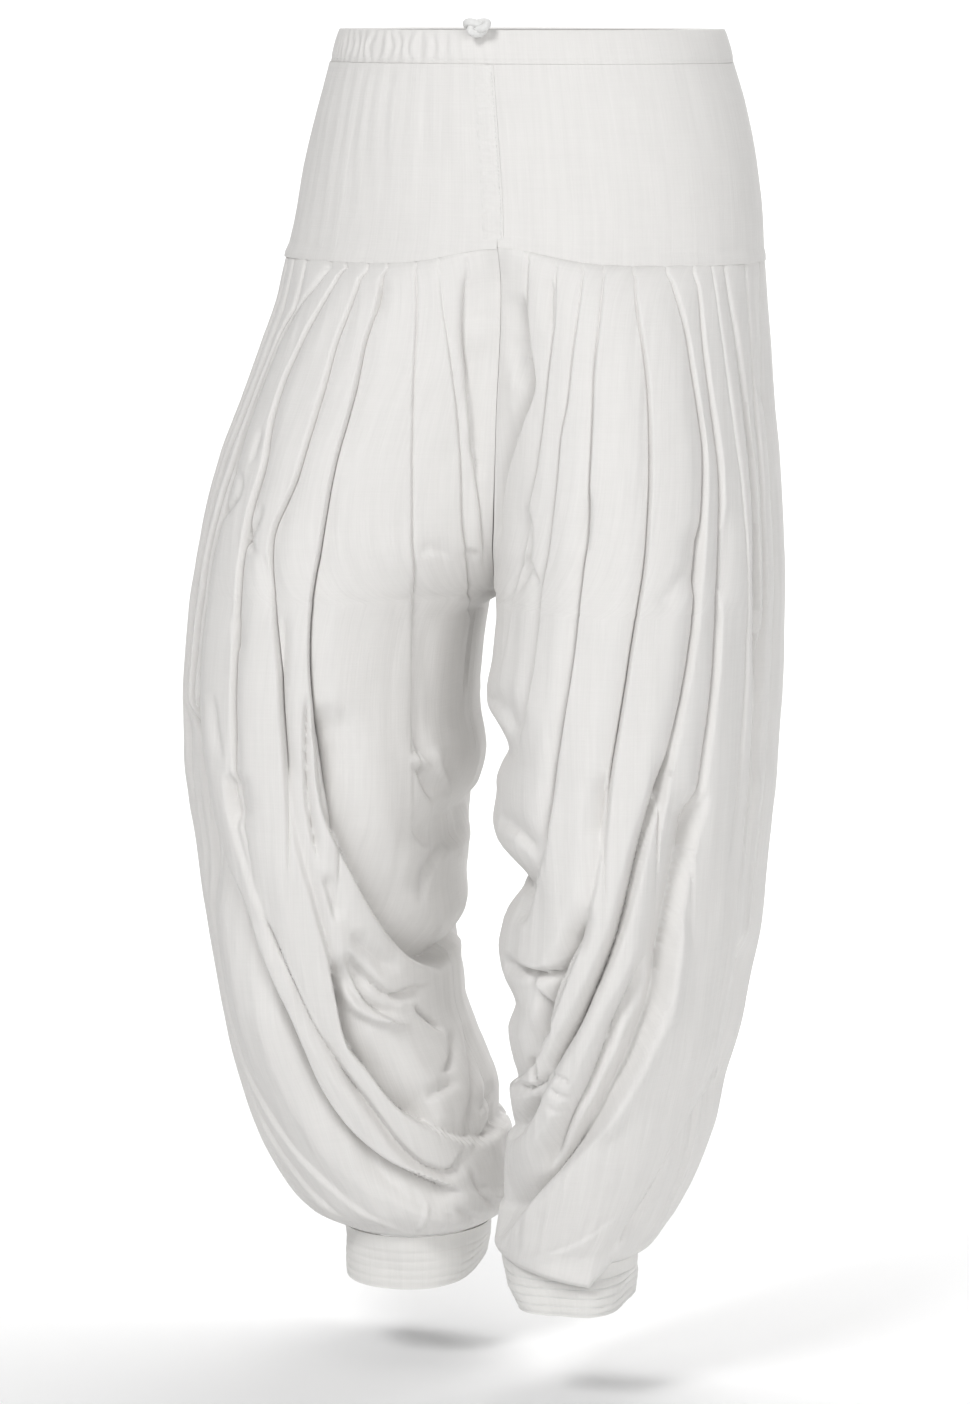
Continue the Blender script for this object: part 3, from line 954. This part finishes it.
def pleat_folds(leg, face, rows, columns):
    """Fold depth of a leg's pleats on an even grid of runs and shares, averaged from fine strips."""
    v = np.linspace(0, 1, STRIP_ROWS)
    even = np.linspace(0, 1, ROWS_TRIED)
    places = [curve(list(zip(even, found)), v) for found in row_places(leg, face)]
    paths = [laid_path(leg, face, k, places[k]) for k in range(PLEATS + 1)]
    runs, fractions, angles = (np.stack([path[i] for path in paths], 1) for i in range(3))
    deep = np.stack([laid_depth(leg, face, k, places[k]) for k in range(PLEATS + 1)], 1)
    lines = leg_point(leg, face, runs, angles / medial_angle(leg, runs), 0 * runs)
    width = np.linalg.norm(np.diff(lines, axis=1), axis=-1)[..., None]
    # Each pleat steps in steeply beside its flap edge and rises slowly on the other side, in millimetres
    steep = (4.2 + 4 * rising(v, 0.45, 0.4))[:, None, None]
    slow = (19 + 24 * rising(v, 0.35, 0.4))[:, None, None]
    part = np.linspace(0, 1, STRIP_PARTS)

    def between(values):
        return values[:, :-1, None] * (1 - part) + values[:, 1:, None] * part

    step_side = deep[:, :-1, None] * np.clip(1 - part * width / steep, 0, 1) ** 1.5
    long_side = deep[:, 1:, None] * np.clip(1 - (1 - part) * width / slow, 0, 1) ** 1.8
    fold = np.maximum(step_side, long_side)
    run, angle = between(runs), between(angles)
    if face == "back":
        outer = rising(np.arange(PLEATS)[None, :, None] + part, 4, 3)
        angle = angle * outer + angle_across(leg, face, run, between(fractions)) * (1 - outer)
    share = np.clip(angle / medial_angle(leg, run), 0, 1)
    i = np.clip((run - YOKE_SEAM) / (LEG_END[leg] - YOKE_SEAM), 0, 1) * (rows - 1)
    return spread_evenly(fold, (i, share * (columns - 1)), rows, columns)


def laid_columns(leg, face, runs, columns):
    """Shares of a panel's columns, row by row, gathered along the pleat lines down to the knee.

    It also gives the fold depth of the crisp pleats there and how far the even grid takes over below.
    """
    shares, deeps = [np.ones_like(runs)], [np.zeros_like(runs)]
    places = np.linspace(0, 1, LINE_PLACES)
    for k in range(1, PLEATS):
        run, _, angle = laid_path(leg, face, k, places)
        last = int(run.argmax()) + 1
        run = np.maximum.accumulate(run[:last])
        share = angle[:last] / medial_angle(leg, run)
        shares.append(np.minimum(np.interp(runs, run, share), shares[-1] - CENTRE_GAP))
        fade = 1 - rising(runs - run[-1], -50, 40)
        deeps.append(np.interp(runs, run, laid_depth(leg, face, k, places[:last])) * fade)
    shares.append(np.zeros_like(runs))
    deeps.append(np.interp(runs, [YOKE_SEAM, YOKE_SEAM + 60, LEG_END[leg]], [1, SIDE_DEPTH, SIDE_DEPTH]))
    for k in range(PLEATS - 1, 0, -1):
        shares[k] = np.maximum(shares[k], shares[k + 1] + LINE_GAP)
    shares, deeps = np.stack(shares, 1), np.stack(deeps, 1)
    lines = leg_point(leg, face, runs[:, None] + 0 * shares, shares, 0 * shares)
    width = np.linalg.norm(np.diff(lines, axis=1), axis=-1)
    gaps = -np.diff(shares[runs.searchsorted(COUNTED_RUN)])
    ends = np.rint(walked(gaps) * (columns - 1)).astype(int)
    share, fold = np.zeros((len(runs), columns)), np.zeros((len(runs), columns))
    aligned = (1 - rising(runs, ALIGNED_RUN, ALIGNED_FADE))[:, None]
    for k in range(PLEATS):
        part = np.linspace(0, 1, ends[k + 1] - ends[k] + 1)[None, :]
        # The columns crowd toward both lines, where the cloth bends most
        part = part - CROWDING * np.sin(2 * math.pi * part) / (2 * math.pi) * aligned
        place = slice(ends[k], ends[k + 1] + 1)
        share[:, place] = shares[:, k : k + 1] * (1 - part) + shares[:, k + 1 : k + 2] * part
        before, after = deeps[:, k : k + 1], deeps[:, k + 1 : k + 2]
        from_before, to_after = part * width[:, k : k + 1], (1 - part) * width[:, k : k + 1]
        step_side = before * np.clip(1 - from_before / STEEP, 0, 1) ** 1.3
        long_side = after * np.clip(1 - to_after / SLOW, 0, 1) ** 1.9
        slit = before * bump(from_before, 0, SLIT_WIDTH) + after * bump(to_after, 0, SLIT_WIDTH)
        fold[:, place] = np.maximum(step_side, long_side) + SLIT_DEPTH * slit
    even = np.linspace(1, 0, columns)[None, :]
    return share * aligned + even * (1 - aligned), fold, aligned


def panel_grid(leg, face, run):
    """Shares of a panel's grid points, and the depth of its pleats and small unevenness there."""
    columns = run.shape[1]
    share, crisp_fold, aligned = laid_columns(leg, face, run[:, 0], columns)
    share, crisp_fold = share[:, ::-1], crisp_fold[:, ::-1]
    even_fold = pleat_folds(leg, face, LEG_ROWS, columns)
    even = np.linspace(0, 1, columns)
    fold = np.stack([np.interp(share[i], even, even_fold[i]) for i in range(LEG_ROWS)])
    fold = crisp_fold * aligned + fold * (1 - aligned)
    # Shallower where the centre seam holds the cloth
    held = rising(share, 0.6, 0.3) * (1 - rising(run, CROTCH, 45))
    _, _, half_width, _, half_depth = leg_oval(leg, run)
    trim = 0.5 * SEAM / (np.hypot(half_width, half_depth) / 1.4 * medial_angle(leg, run))
    apart = LEAST_STEP * np.arange(columns)
    share = np.clip(share, trim + apart, np.where(run < CROTCH, 1, 1 - trim) - apart[::-1])
    seed = {"right": 3, "left": 7}[leg] + {"front": 0, "back": 20}[face]
    round_it = share * 11
    soft = 0.9 * rising(run, 200, 300) * noise(round_it * 2.3, run / 95, seed)
    soft = soft + 0.4 * noise(round_it * 4.1, run / 45, seed + 1)
    fine = 0.14 * noise(round_it * 9, run / 14, seed + 2)
    inside = within(share, 0, 1, 0.03) * rising(run, YOKE_SEAM, 25)
    flat = ending(run, LEG_END[leg], 40)
    return share, (fold * (1 - 0.45 * held) + (soft + fine) * inside) * flat


def drawn_folds(leg, face, run, share, fold):
    """Depth of the folds drawn in the picture, where they fall on a panel's grid points."""
    even_points = leg_point(leg, face, run, share, 0 * fold)
    normal = unit(np.cross(np.gradient(even_points, axis=1), np.gradient(even_points, axis=0)))
    facing = normal @ VIEW_BACK
    if (facing[LEG_ROWS // 3, run.shape[1] // 2] > 0) != (face == "front"):
        facing = -facing
    folded = leg_point(leg, face, run, share, fold)
    open_seam = np.where(run < CROTCH + 10, ending(share, 1, 0.04), 1)
    ends = rising(run, YOKE_SEAM, 22) * ending(run, LEG_END[leg], 16)
    drawn = fold_relief(*picture(folded), leg) * rising(facing, 0.02, 0.2) * open_seam * ends
    if face == "back":
        # The back takes folds like those of the front, lower down and shallower
        over = folded.copy()
        over[..., 1] = 2 * leg_oval(leg, run)[3] - over[..., 1]
        over[..., 2] += BACK_DROP
        away = within(share, 0.02, 0.98, 0.1)
        drawn = drawn + BACK_SCALE * fold_relief(*picture(over), leg) * away * ends * ending(facing, 0.1, 0.3)
    oblique = ending(np.abs(facing), 0.55, 0.35)
    return drawn * (1 - oblique), soften(drawn, 4) * oblique


SEAM_FOLDS = {}  # fold depths of each front panel at its side and inner seams, which the back one takes on


def leg_cloth(leg, face):
    """One leg panel as thin cloth, with its pleats, drawn folds and small unevenness."""
    columns = COLUMNS_MADE[face]
    run = np.linspace(YOKE_SEAM + 0.5 * SEAM, LEG_END[leg], LEG_ROWS)[:, None] + np.zeros((1, columns))
    share, fold = panel_grid(leg, face, run)
    faced, oblique = drawn_folds(leg, face, run, share, fold)
    fold = fold + faced + oblique + edge_relief(leg, run, share)
    if face == "front":
        SEAM_FOLDS[leg] = fold[:, 0], fold[:, -1]
    else:
        side, inner_side = SEAM_FOLDS[leg]
        fold += (side - fold[:, 0])[:, None] * ending(share, 0.07, 0.07)
        fold += (inner_side - fold[:, -1])[:, None] * rising(share, 0.93, 0.07)

    outer = leg_point(leg, face, run, share, fold)
    if leg == "left" and face == "front":
        # Its lowest pleat hangs over the cuff toward the viewer's left
        px = picture(outer)[0]
        left, right = (px - 500) / 92, (612 - px) / 20  # from its ends in the picture
        hang = np.clip(np.minimum(left, right), 0, 1) * rising(run - LEG_END[leg], -26, 20)
        outer[..., 2] -= 15 * hang
        outer[..., 1] -= 9 * hang * rising(run - LEG_END[leg], -26, 26)
    inner = leg_point(leg, face, run, share, deepest_near(fold, 2) + CLOTH)
    inner += outer - leg_point(leg, face, run, share, fold)
    return shell(f"leg_{leg}_{face}_cloth", outer, inner[::2, ::2], thread_places(share * 360, run))


def gathered(turn, first, rise, last, back, less):
    """Where the drawstring gathers the cloth, by degrees round: the wearer's right, and the back less."""
    front = rising(turn, first, rise) * ending(turn, last, 25)
    return front + less * rising(turn, back, 20) * ending(turn, 262, 20)


def yoke_cloth(leg):
    """Half of the yoke, with soft upright ripples where the casing is gathered."""
    rows = np.linspace(0, 1, 91)[:, None]
    half_turn = np.linspace(-1, 1, 261)[None, :] * (math.pi / 2 - 0.5 * SEAM / 150)
    angle = half_turn if leg == "left" else math.pi - half_turn
    top = BAND_HEIGHT + SEAM
    rise = seam_rise(angle, torso_point(YOKE_SEAM, angle)[..., 0])
    drop = top + (YOKE_SEAM + 1.2 - rise - top) * rows
    angle = angle + 0 * drop
    turn = np.degrees(angle)
    waves = np.sin(np.radians(turn) * 62 + 2 * noise(turn / 7, drop / 60, 5))
    waves = waves + 0.9 * noise(turn / 2.2, drop / 80, 6)
    ripple = 0.42 * gathered(turn, 92, 14, 172, 188, 0.5) * waves * (1 - rising(drop, 60, 130) * 0.75)
    uneven = 0.35 * noise(turn / 14, drop / 50, 8) + 0.12 * noise(turn / 3.1, drop / 16, 9)
    inside = within(rows, 0, 1, 0.06) * ending(np.abs(half_turn) / (math.pi / 2), 0.92, 0.04)
    past = drop + rise - YOKE_SEAM
    hem = 1.25 * rising(past, -9, 5) - 0.35 * bump(past, -5, 0.8)
    outer = torso_point(drop, angle, (ripple + uneven) * inside + hem)
    thread = thread_places(turn * DEGREE_ROUND, drop)
    return shell(f"yoke_{leg}_cloth", outer, lining(outer, False, 1.0), thread)


def waistband_cloth():
    """The casing, rounded at its rim, drawn in by the drawstring on the wearer's right."""
    turn = np.linspace(0, 360, 720, endpoint=False)[None, :]
    share = np.linspace(0, 1, 23)[:, None]
    drop = BAND_HEIGHT * share + 0 * turn
    angle = np.radians(turn) + 0 * drop
    waves = np.sin(np.radians(turn) * 90 + 2.4 * noise(turn / 6, share * 2, 11))
    waves = waves + 0.7 * noise(turn / 1.7, share * 1.5, 12)
    pucker = 0.65 * gathered(turn, 93, 12, 168, 190, 0.6) * waves
    pucker = pucker * (0.35 + 0.65 * np.sin(math.pi * np.clip(share * 1.1, 0, 1)))
    swell = 1.1 * np.sin(math.pi * np.clip(share, 0, 1)) ** 0.5 - 0.2
    tight = -0.5 * bump(share, 0.9, 0.03)
    outer = torso_point(drop, angle, pucker + swell + tight + 0.2 * noise(turn / 5, share * 3, 13))
    thread = thread_places(turn * DEGREE_ROUND, drop)
    return shell("waistband_cloth", outer, lining(outer, True, 2.4), thread, ring=True)


def placket_cloth():
    """The stitched strip down the centre front, with small puckers across it."""
    rows = np.linspace(0, 1, 151)[:, None]
    across = np.linspace(-1, 1, 25)[None, :]
    top = BAND_HEIGHT + 2 * SEAM
    bottom = YOKE_SEAM - YOKE_PEAK - 3 * SEAM
    drop = top + (bottom - top) * rows + 0 * across
    angle = math.pi / 2 + (across * STRIP_HALF + STRIP_SHIFT) / curve(TORSO, drop, 2)
    middle = 1 - np.clip(np.abs(across) / STRIP_FLAT, 0, 1) ** 3
    pucker = 0.30 * np.sin(rows * 100 + 2 * noise(rows * 9, across, 15))
    pucker = pucker + 0.35 * noise(rows * 30, across * 1.2, 16)
    seam_line = -0.2 * bump(np.abs(across), STRIP_SEAM, 0.07)
    outer = torso_point(drop, angle, 0.62 + STRIP_RISE * middle + pucker * middle + seam_line)
    inner = torso_point(drop, angle, 0.22)[::2, ::2]
    return shell("placket_cloth", outer, inner, thread_places(across * STRIP_HALF, drop))


def cuff_surface(leg, share, angle, inward=0.0):
    """Points of a cuff by the share of the way down and the angle round it."""
    side = SIDE[leg]
    inner_x, outer_x = curve(CUFFS[leg], share, 3), curve(CUFFS[leg], share, 4)
    front, back = curve(CUFFS[leg], share, 5), curve(CUFFS[leg], share, 6)
    square = 1 + CUFF_SQUARE[leg] * np.cos(4 * (angle - math.pi / 4)) * ease(share * 2 - 0.3)
    x = (outer_x - inner_x) / 2 * np.cos(angle) * square
    y = -(back - front) / 2 * np.sin(angle) * square
    scale = 1 - (SEAM + inward) / np.hypot(x, y)
    toward = (np.sin(angle) + 1) / 2
    drop = curve(CUFFS[leg], share, 2) * (1 - toward) + curve(CUFFS[leg], share, 1) * toward
    return np.stack([side * ((inner_x + outer_x) / 2 + x * scale), (front + back) / 2 + y * scale, -drop], -1)


def cuff_cloth(leg):
    """A stiffened cuff, drawn in a little along its rows of stitches."""
    share = np.linspace(0, 1, 61)[:, None]
    angle = np.linspace(0, 2 * math.pi, 300, endpoint=False)[None, :]
    turn = np.degrees(angle)
    lines = sum(bump(share, place, 0.026) for place in STITCH_ROWS)
    uneven = 0.25 * noise(turn / 12, share * 5, 31) + 0.12 * noise(turn / 3, share * 9, 32)
    inward = 0.55 * lines + uneven * rising(share, 0, 0.1)
    outer = cuff_surface(leg, share + 0 * angle, angle + 0 * share, inward)
    thread = thread_places(turn * 0.95, 42 * share)
    return shell(f"cuff_{leg}_cloth", outer, lining(outer, True, 2.0), thread, ring=True)


def stitches(name, lines, length, radius):
    """Short rounded stitches along lines, each half sunk in the cloth: centres, way ahead, way out."""
    centres, ahead, out = (np.concatenate([line[i] for line in lines]) for i in range(3))
    ahead, out = unit(ahead), unit(out)
    beside = np.cross(ahead, out)
    rings = [(-0.5, 0.35), (0.0, 1.15), (0.5, 0.35)]
    sides = 4
    points = []
    for place, thick in rings:
        for a in np.linspace(0, 2 * math.pi, sides, endpoint=False):
            spread = (beside * math.cos(a) + out * math.sin(a)) * radius * thick
            points.append(centres + ahead * (place * length) + spread)
    points = np.stack(points, 1)
    grid = np.arange(len(rings) * sides).reshape(len(rings), sides)
    after = np.roll(grid, -1, 1)
    quads = np.stack([grid[:-1], grid[1:], after[1:], after[:-1]], -1).reshape(-1, 4).tolist()
    faces = quads + [grid[0].tolist(), grid[-1][::-1].tolist()]
    every = [[i + grid.size * k for i in face] for k in range(len(points)) for face in faces]
    places = points.reshape(-1, 3) * MILLIMETRE
    mesh = bpy.data.meshes.new(name)
    mesh.from_pydata(places.tolist(), [], every)
    mesh.update()
    mesh.shade_smooth()
    lay_weave(mesh, places)
    return put(name, mesh)


def line_frame(place, values, step=0.5):
    """Points of a line, the way it runs and the way out of the cloth there."""
    here = place(values, 0.0)
    return here, place(values + step, 0.0) - place(values - step, 0.0), place(values, 1.0) - here


def cuff_stitches(leg):
    """The rows of stitches round a cuff."""
    lines = []
    for number, share in enumerate(STITCH_ROWS):
        turn = np.arange(0, 360, 1.05) + 0.4 * number
        wave = 0.012 * noise(turn / 8, number + 0 * turn, 41)

        def line(at, out, share=share, wave=wave):
            return cuff_surface(leg, share + wave, np.radians(at), 0.36 - out)

        lines.append(line_frame(line, turn))
    return stitches(f"cuff_{leg}_stitches", lines, 2.1, 0.34)


def band_stitches():
    """The row of stitches round the lower edge of the casing."""
    turn = np.arange(0, 360, 1.35)
    drop = 0.9 * BAND_HEIGHT + 0.4 * noise(turn / 6, 0 * turn, 43)

    def line(at, out):
        return torso_point(drop, np.radians(at), -0.25 + out)

    return stitches("band_stitches", [line_frame(line, turn)], 2.3, 0.34)


def placket_stitches():
    """The two rows of stitches down the strip."""
    lines = []
    for side in (-STRIP_SEAM, STRIP_SEAM):
        drop = np.arange(BAND_HEIGHT + 4, YOKE_SEAM - YOKE_PEAK - 3, 3.1)
        wave = 0.35 * noise(drop / 9, side + 0 * drop, 44)

        def line(at, out, side=side, wave=wave):
            angle = math.pi / 2 + (side * STRIP_HALF + wave + STRIP_SHIFT) / curve(TORSO, at, 2)
            middle = 1 - (STRIP_SEAM / STRIP_FLAT) ** 3
            return torso_point(at, angle, 0.55 + STRIP_RISE * middle + out)

        lines.append(line_frame(line, drop))
    return stitches("placket_stitches", lines, 2.2, 0.32)


def knot_cord():
    """The knot of the drawstring on the rim: one thick cord wound through itself."""
    steps, sides = 120, 14
    turn = np.linspace(0, 2 * math.pi, steps, endpoint=False)
    x = (np.sin(turn) + 2 * np.sin(2 * turn)) * KNOT_SIZE[0]
    y = -np.sin(3 * turn) * KNOT_SIZE[1]
    z = (np.cos(turn) - 2 * np.cos(2 * turn)) * KNOT_SIZE[2]
    centre = np.stack([x, y, z], -1) + KNOT_PLACE
    ahead = unit(np.roll(centre, -1, 0) - np.roll(centre, 1, 0))
    flat = unit(np.cross(ahead, [0, 1, 0]))
    up = np.cross(flat, ahead)
    around = np.linspace(0, 2 * math.pi, sides, endpoint=False)
    radius = CORD_RADIUS + 0.12 * np.sin(turn * 40)  # with the twist of its strands
    ring = flat[:, None] * np.cos(around)[None, :, None] + up[:, None] * np.sin(around)[None, :, None]
    points = (centre[:, None] + ring * radius[:, None, None]) * MILLIMETRE
    grid = np.arange(steps * sides).reshape(steps, sides)
    after, beside = np.roll(grid, -1, 0), np.roll(grid, -1, 1)
    faces = np.stack([grid, after, np.roll(after, -1, 1), beside], -1).reshape(-1, 4)
    mesh = bpy.data.meshes.new("knot_cord")
    mesh.from_pydata(points.reshape(-1, 3).tolist(), [], faces.tolist())
    mesh.update()
    mesh.shade_smooth()
    lay_weave(mesh, thread_places(np.arange(steps)[:, None] * 0.0008, around[None, :] * 0.0023))
    return put("knot_cord", mesh)


def set_inputs(node, **values):
    """Set a node's inputs, with an underline for each space in a name."""
    for name, value in values.items():
        node.inputs[name.replace("_", " ")].default_value = value


def new_material(name):
    """A new material with its node tree and its surface."""
    made = bpy.data.materials.new(name)
    made.use_nodes = True
    return made, made.node_tree, made.node_tree.nodes["Principled BSDF"]


def cotton(name, colour, streak, relief):
    """White slub cotton: uneven threads both ways, a fine weave and a soft matt surface."""
    made, tree, surface = new_material(name)
    set_inputs(surface, Roughness=0.92, Sheen_Weight=0.12, Sheen_Roughness=0.5, Specular_IOR_Level=0.25)
    place = tree.nodes.new("ShaderNodeAttribute")
    place.attribute_name = "weave"

    def threads(scale_across, scale_along, detail):
        mapping = tree.nodes.new("ShaderNodeMapping")
        set_inputs(mapping, Scale=(scale_across, scale_along, 1))
        texture = tree.nodes.new("ShaderNodeTexNoise")
        set_inputs(texture, Scale=1.0, Detail=detail)
        tree.links.new(place.outputs["Vector"], mapping.inputs["Vector"])
        tree.links.new(mapping.outputs["Vector"], texture.inputs["Vector"])
        return texture.outputs["Fac"]

    def mix(kind, *values):
        node = tree.nodes.new("ShaderNodeMath")
        node.operation = kind
        for i, value in enumerate(values):
            if isinstance(value, float):
                node.inputs[i].default_value = value
            else:
                tree.links.new(value, node.inputs[i])
        return node.outputs[0]

    upright = threads(900, 22, 3)
    level = threads(26, 900, 3)
    slub = threads(240, 9, 2)
    cloud = threads(30, 30, 2)
    woven = mix("ADD", mix("MULTIPLY", upright, 0.5), mix("MULTIPLY", level, 0.3))
    woven = mix("ADD", woven, mix("MULTIPLY", slub, 0.5))
    ramp = tree.nodes.new("ShaderNodeMix")
    ramp.data_type = "RGBA"
    dark, light = [c * (1 - streak) for c in colour], [min(c * (1 + streak), 1) for c in colour]
    set_inputs(ramp, A=(*dark, 1), B=(*light, 1))
    shade = mix("MULTIPLY_ADD", woven, 1.2, -0.28)
    shade = mix("ADD", shade, mix("MULTIPLY", mix("SUBTRACT", cloud, 0.5), 0.35))
    tree.links.new(shade, ramp.inputs["Factor"])
    tree.links.new(ramp.outputs["Result"], surface.inputs["Base Color"])
    raised = tree.nodes.new("ShaderNodeBump")
    set_inputs(raised, Strength=relief, Distance=0.0004)
    tree.links.new(woven, raised.inputs["Height"])
    tree.links.new(raised.outputs["Normal"], surface.inputs["Normal"])
    return made


def backdrop():
    """A pale floor that sweeps up into a wall behind."""
    edge, bend, top, half_width = 3.0, 1.5, 6.0, 7.0
    profile = [(-6.0, 0.0), (edge, 0.0)]
    for a in np.linspace(0.1, math.pi / 2, 12):
        profile.append((edge + bend * math.sin(a), bend - bend * math.cos(a)))
    profile += [(edge + bend, top)]
    points = [(x, y, FLOOR + z) for y, z in profile for x in (-half_width, half_width)]
    faces = [(2 * i, 2 * i + 1, 2 * i + 3, 2 * i + 2) for i in range(len(profile) - 1)]
    mesh = bpy.data.meshes.new("backdrop")
    mesh.from_pydata(points, [], faces)
    mesh.shade_smooth()
    floor = put("backdrop", mesh)
    made, _, surface = new_material("backdrop_white")
    set_inputs(surface, Base_Color=(0.93, 0.93, 0.93, 1), Roughness=0.95)
    floor.data.materials.append(made)


def lights():
    """An even pale sky, and the soft lamps: one at either side of the camera and one on the wall behind."""
    world = bpy.data.worlds.new("studio")
    bpy.context.scene.world = world
    world.use_nodes = True
    set_inputs(world.node_tree.nodes["Background"], Color=(1, 1, 1, 1), Strength=0.31)
    for name, place, aim, size, power in LAMPS:
        data = bpy.data.lights.new(name, "AREA")
        data.shape = "DISK"
        data.size = size
        data.energy = power
        lamp = put(name, data)
        lamp.location = place
        lamp.rotation_euler = (Vector(aim) - Vector(place)).to_track_quat("-Z", "Y").to_euler()


def camera():
    """The camera, at the picture's angle."""
    data = bpy.data.cameras.new("camera")
    data.sensor_fit = "VERTICAL"
    data.sensor_height = 24.0
    data.lens = data.sensor_height * DISTANCE / (HEIGHT * PIXEL)
    data.clip_end = 60
    made = put("camera", data)
    back = Vector(VIEW_BACK)
    made.location = Vector(LOOK_AT) + DISTANCE * back
    made.rotation_euler = back.to_track_quat("Z", "Y").to_euler()
    bpy.context.scene.camera = made


def settle(piece, slot, node=None):
    """Give a piece its cloth, body and slot, and its solid. Stitches have no solid and are of cord cotton."""
    piece.data.materials.append(COTTONS[slot] if node else COTTONS["cord_cotton"])
    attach(piece, "root")
    if node:
        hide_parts(node)


bpy.context.scene.view_settings.view_transform = "Standard"
bpy.context.scene.view_settings.look = "None"
backdrop()
lights()
camera()
COTTONS = {
    "cotton": cotton("white_cotton", (0.748, 0.736, 0.720), 0.07, 0.7),
    "cuff_cotton": cotton("cuff_cotton", (0.752, 0.742, 0.722), 0.06, 0.55),
    "cord_cotton": cotton("cord_cotton", (0.76, 0.76, 0.75), 0.04, 0.5),
}

band = waistband_cloth()
settle(band, "cotton", "waistband")
for leg in ("right", "left"):
    yoke = yoke_cloth(leg)
    settle(yoke, "cotton", f"yoke_{leg}")
    for face in ("front", "back"):
        panel = leg_cloth(leg, face)
        settle(panel, "cotton", f"leg_{leg}_{face}")
    cuff = cuff_cloth(leg)
    settle(cuff, "cuff_cotton", f"cuff_{leg}")
strip = placket_cloth()
settle(strip, "cotton", "placket")
settle(knot_cord(), "cord_cotton", "drawstring_knot")
for leg in ("right", "left"):
    settle(cuff_stitches(leg), "cuff_cotton")
settle(band_stitches(), "cotton")
settle(placket_stitches(), "cotton")
